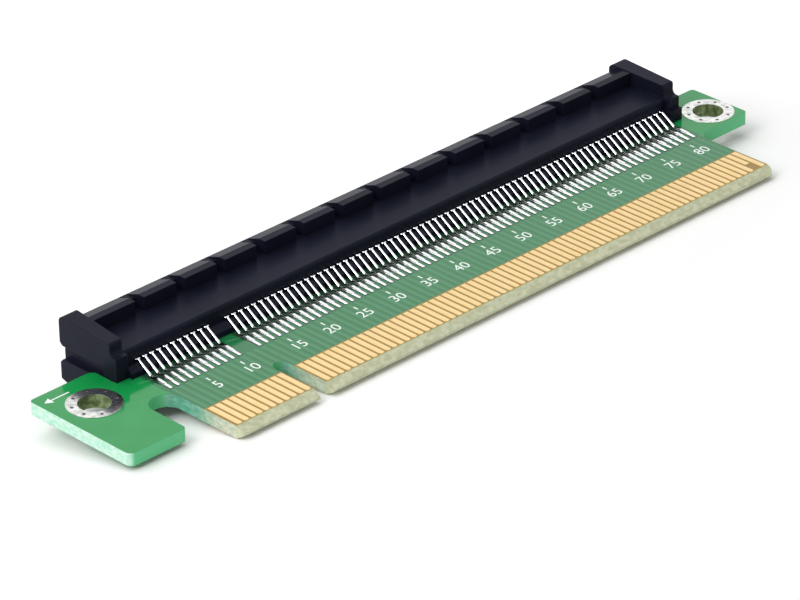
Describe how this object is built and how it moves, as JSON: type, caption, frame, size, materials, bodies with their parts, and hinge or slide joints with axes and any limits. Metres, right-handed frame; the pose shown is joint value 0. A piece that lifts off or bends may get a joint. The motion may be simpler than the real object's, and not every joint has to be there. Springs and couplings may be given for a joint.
{
  "type": "pcie riser card",
  "caption": "Slim riser card: a green circuit board with a gold-fingered tongue and a black card slot soldered along its back edge, with a plated mounting hole in each end tab.",
  "frame": {"origin": "front edge of the tongue, on the centre line of the key notch, at the middle of the board's thickness", "axes": "+X along the card from the key notch towards the long pin row, +Y from the tongue's edge to the slot's mouth, +Z out of the face with the printed numbers"},
  "size_m": [0.1047, 0.0261, 0.0087],
  "materials": {
    "board": "glass-fibre laminate with green solder mask",
    "housing": "black moulded nylon",
    "gold": "gold-plated copper",
    "tin": "bright tin plating"
  },
  "bodies": {
    "root": {"circuit_board": "board", "connector_housing": "housing", "contacts_bottom_long_row": "tin", "contacts_bottom_short_row": "tin", "contacts_top_long_row": "tin", "contacts_top_short_row": "tin", "detect_finger_bottom": "gold", "detect_finger_top": "gold", "edge_fingers_bottom_long_row": "gold", "edge_fingers_bottom_short_row": "gold", "edge_fingers_top_long_row": "gold", "edge_fingers_top_short_row": "gold", "mounting_ring_left": "tin", "mounting_ring_right": "tin", "solder_pads_bottom_long_row": "tin", "solder_pads_bottom_short_row": "tin", "solder_pads_top_long_row": "tin", "solder_pads_top_short_row": "tin"}
  },
  "joints": []
}
